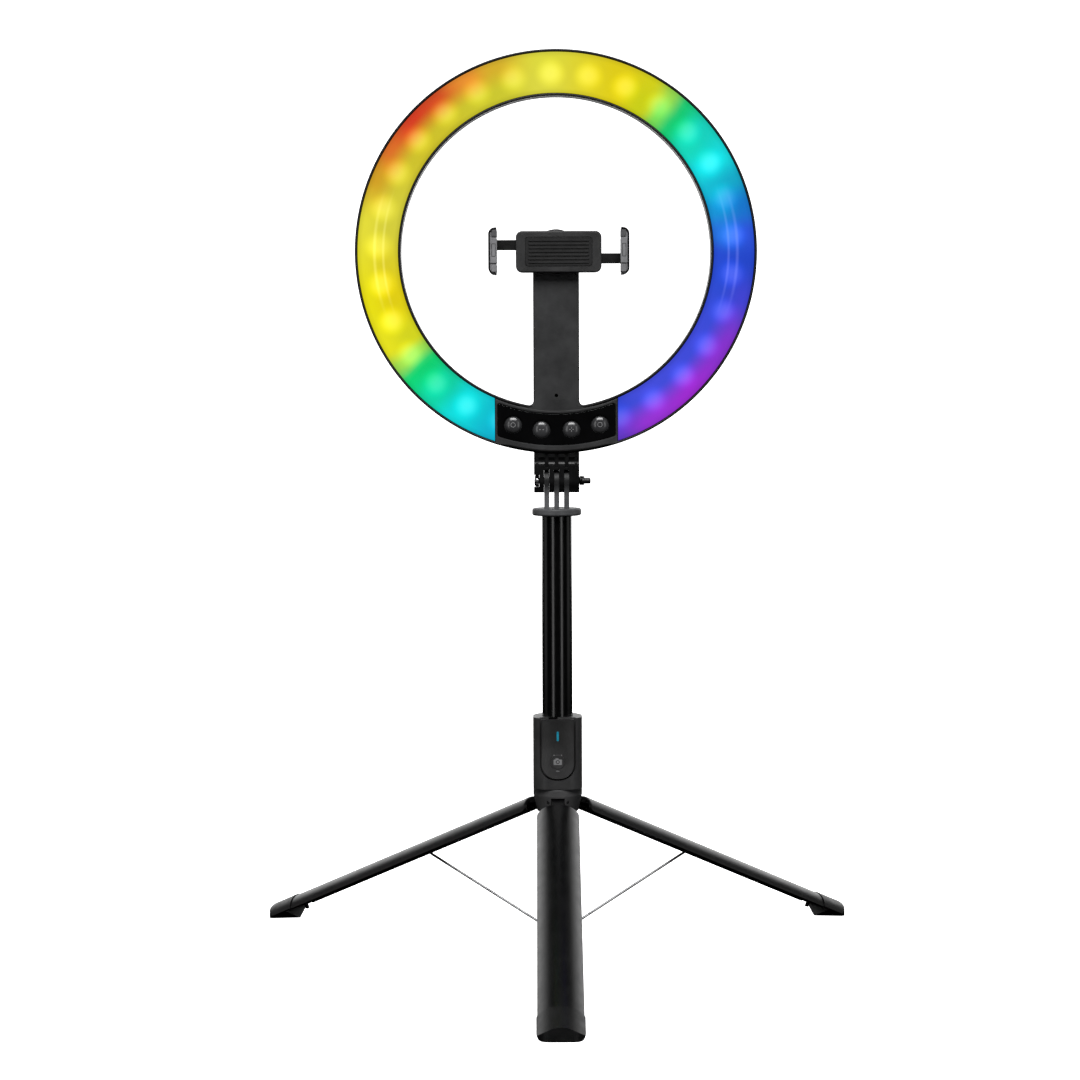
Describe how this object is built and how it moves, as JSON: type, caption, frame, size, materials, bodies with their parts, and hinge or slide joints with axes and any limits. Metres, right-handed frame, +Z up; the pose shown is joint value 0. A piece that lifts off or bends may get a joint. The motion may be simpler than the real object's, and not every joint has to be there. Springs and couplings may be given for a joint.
{
  "type": "ring light on folding stand",
  "caption": "Ring-shaped lamp with a coloured opal diffuser, tilting on a telescopic mast with folding legs, a phone clamp and a docked shutter remote.",
  "frame": {"origin": "on the floor, in the middle of the part's bounding box; the mast stands 49.7 mm behind it", "axes": "+Z up along the mast, -Y towards the camera side: the lit face and the front leg; +X to the viewer's right"},
  "size_m": [0.4002, 0.3466, 0.5753],
  "materials": {
    "satin_black_plastic": "fine-textured satin moulding",
    "dark_grey_plastic": "satin moulding with darker edges",
    "gloss_black_plastic": "piano gloss",
    "black_tube": "gloss black drawn tube",
    "foot_rubber": "matt",
    "pad_rubber": "matt grey",
    "steel": "drawn",
    "chrome": "polished",
    "lit_diffuser": "opal, lit from behind in a run of colours",
    "opal_sheet": "opal",
    "circuit_board": "solder mask",
    "bush_nylon": "natural nylon"
  },
  "bodies": {
    "handle": {"dock_shell": "satin_black_plastic", "leg_hub": "satin_black_plastic", "dock_bush": "bush_nylon", "leg_pin_1": "steel", "leg_pin_2": "steel", "leg_pin_3": "steel"},
    "leg_1": {"leg_1": "satin_black_plastic", "foot_1": "foot_rubber", "strut_pin_1": "steel"},
    "strut_1": {"strut_1": "steel"},
    "leg_2": {"leg_2": "satin_black_plastic", "foot_2": "foot_rubber", "strut_pin_2": "steel"},
    "strut_2": {"strut_2": "steel"},
    "leg_3": {"leg_3": "satin_black_plastic", "foot_3": "foot_rubber", "strut_pin_3": "steel"},
    "strut_3": {"strut_3": "steel"},
    "mast": {"mast_tube_1": "black_tube", "strut_hub": "satin_black_plastic"},
    "section_2": {"mast_tube_2": "steel", "mast_bush_2": "bush_nylon"},
    "section_3": {"mast_tube_3": "steel", "mast_bush_3": "bush_nylon"},
    "section_4": {"mast_tube_4": "steel", "mast_bush_4": "bush_nylon"},
    "section_5": {"mast_tube_5": "steel", "mast_bush_5": "bush_nylon", "mast_head": "satin_black_plastic"},
    "ring_head": {"neck_bracket": "satin_black_plastic", "neck_screw_1": "steel", "neck_screw_2": "steel", "ring_front_frame": "dark_grey_plastic", "ring_rear_cover": "satin_black_plastic", "ring_diffuser": "lit_diffuser", "light_spreader": "opal_sheet", "led_board": "circuit_board", "control_panel": "gloss_black_plastic", "control_board": "circuit_board", "power_inlet": "steel", "tilt_nut": "chrome"},
    "tilt_screw": {"tilt_screw": "satin_black_plastic"},
    "button_1": {"button_1": "gloss_black_plastic"},
    "button_2": {"button_2": "gloss_black_plastic"},
    "button_3": {"button_3": "gloss_black_plastic"},
    "button_4": {"button_4": "gloss_black_plastic"},
    "phone_clamp": {"clamp_swivel": "steel", "clamp_body": "satin_black_plastic", "clamp_cover": "satin_black_plastic", "clamp_spring": "steel"},
    "jaw_left": {"jaw_left": "satin_black_plastic", "jaw_pad_left": "pad_rubber"},
    "jaw_right": {"jaw_right": "satin_black_plastic", "jaw_pad_right": "pad_rubber"},
    "remote": {"remote_case": "satin_black_plastic", "remote_cover": "satin_black_plastic", "remote_board": "circuit_board", "remote_battery": "chrome"},
    "remote_button": {"remote_button": "satin_black_plastic"}
  },
  "joints": [
    {"name": "leg_1_fold", "type": "hinge", "parent": "handle", "child": "leg_1", "pos_m": [0, 0.03721, 0.0989], "axis": [1, 0, 0], "range_deg": [0, 65.81]},
    {"name": "leg_2_fold", "type": "hinge", "parent": "handle", "child": "leg_2", "pos_m": [0.01082, 0.05596, 0.0989], "axis": [-0.5, 0.866, 0], "range_deg": [0, 65.81]},
    {"name": "leg_3_fold", "type": "hinge", "parent": "handle", "child": "leg_3", "pos_m": [-0.01082, 0.05596, 0.0989], "axis": [-0.5, -0.866, 0], "range_deg": [0, 65.81]},
    {"name": "strut_1_fold", "type": "hinge", "parent": "leg_1", "child": "strut_1", "pos_m": [0, -0.05447, 0.05772], "axis": [1, 0, 0], "range_deg": [-131.62, 0]},
    {"name": "strut_2_fold", "type": "hinge", "parent": "leg_2", "child": "strut_2", "pos_m": [0.09022, 0.10179, 0.05772], "axis": [-0.5, 0.866, 0], "range_deg": [-131.62, 0]},
    {"name": "strut_3_fold", "type": "hinge", "parent": "leg_3", "child": "strut_3", "pos_m": [-0.09022, 0.10179, 0.05772], "axis": [-0.5, -0.866, 0], "range_deg": [-131.62, 0]},
    {"name": "mast_slide", "type": "slide", "parent": "handle", "child": "mast", "axis": [0, 0, 1], "range_m": [-0.11869, 0]},
    {"name": "section_2_slide", "type": "slide", "parent": "mast", "child": "section_2", "axis": [0, 0, 1], "range_m": [0, 0.2]},
    {"name": "section_3_slide", "type": "slide", "parent": "section_2", "child": "section_3", "axis": [0, 0, 1], "range_m": [0, 0.2]},
    {"name": "section_4_slide", "type": "slide", "parent": "section_3", "child": "section_4", "axis": [0, 0, 1], "range_m": [0, 0.2]},
    {"name": "section_5_slide", "type": "slide", "parent": "section_4", "child": "section_5", "axis": [0, 0, 1], "range_m": [0, 0.2]},
    {"name": "ring_tilt", "type": "hinge", "parent": "section_5", "child": "ring_head", "pos_m": [0, 0.04971, 0.30375], "axis": [1, 0, 0], "range_deg": [-90, 90]},
    {"name": "tilt_screw_turn", "type": "hinge", "parent": "ring_head", "child": "tilt_screw", "pos_m": [0.015, 0.04971, 0.30375], "axis": [1, 0, 0], "continuous": true},
    {"name": "button_1_press", "type": "slide", "parent": "ring_head", "child": "button_1", "axis": [0, 1, 0], "range_m": [0, 0.0006], "stiffness_N_per_m": 800},
    {"name": "button_2_press", "type": "slide", "parent": "ring_head", "child": "button_2", "axis": [0, 1, 0], "range_m": [0, 0.0006], "stiffness_N_per_m": 800},
    {"name": "button_3_press", "type": "slide", "parent": "ring_head", "child": "button_3", "axis": [0, 1, 0], "range_m": [0, 0.0006], "stiffness_N_per_m": 800},
    {"name": "button_4_press", "type": "slide", "parent": "ring_head", "child": "button_4", "axis": [0, 1, 0], "range_m": [0, 0.0006], "stiffness_N_per_m": 800},
    {"name": "clamp_turn", "type": "hinge", "parent": "ring_head", "child": "phone_clamp", "pos_m": [0, 0.03771, 0.4483], "axis": [0, -1, 0], "continuous": true},
    {"name": "jaw_right_slide", "type": "slide", "parent": "phone_clamp", "child": "jaw_right", "axis": [1, 0, 0], "range_m": [-0.011, 0.007]},
    {"name": "jaw_left_slide", "type": "slide", "parent": "phone_clamp", "child": "jaw_left", "axis": [-1, 0, 0], "range_m": [-0.011, 0.007]},
    {"name": "remote_pull", "type": "slide", "parent": "handle", "child": "remote", "axis": [0, -1, 0], "range_m": [0, 0.02]},
    {"name": "remote_button_press", "type": "slide", "parent": "remote", "child": "remote_button", "axis": [0, 1, 0], "range_m": [0, 0.0005], "stiffness_N_per_m": 600}
  ],
  "couplings": [
    {"joint": "leg_2_fold", "follows": "leg_1_fold", "ratio": 1},
    {"joint": "leg_3_fold", "follows": "leg_1_fold", "ratio": 1},
    {"joint": "strut_1_fold", "follows": "leg_1_fold", "ratio": -2},
    {"joint": "strut_2_fold", "follows": "leg_1_fold", "ratio": -2},
    {"joint": "strut_3_fold", "follows": "leg_1_fold", "ratio": -2},
    {"joint": "mast_slide", "follows": "leg_1_fold", "m_per_rad": -0.10329},
    {"joint": "jaw_left_slide", "follows": "jaw_right_slide", "ratio": 1}
  ]
}
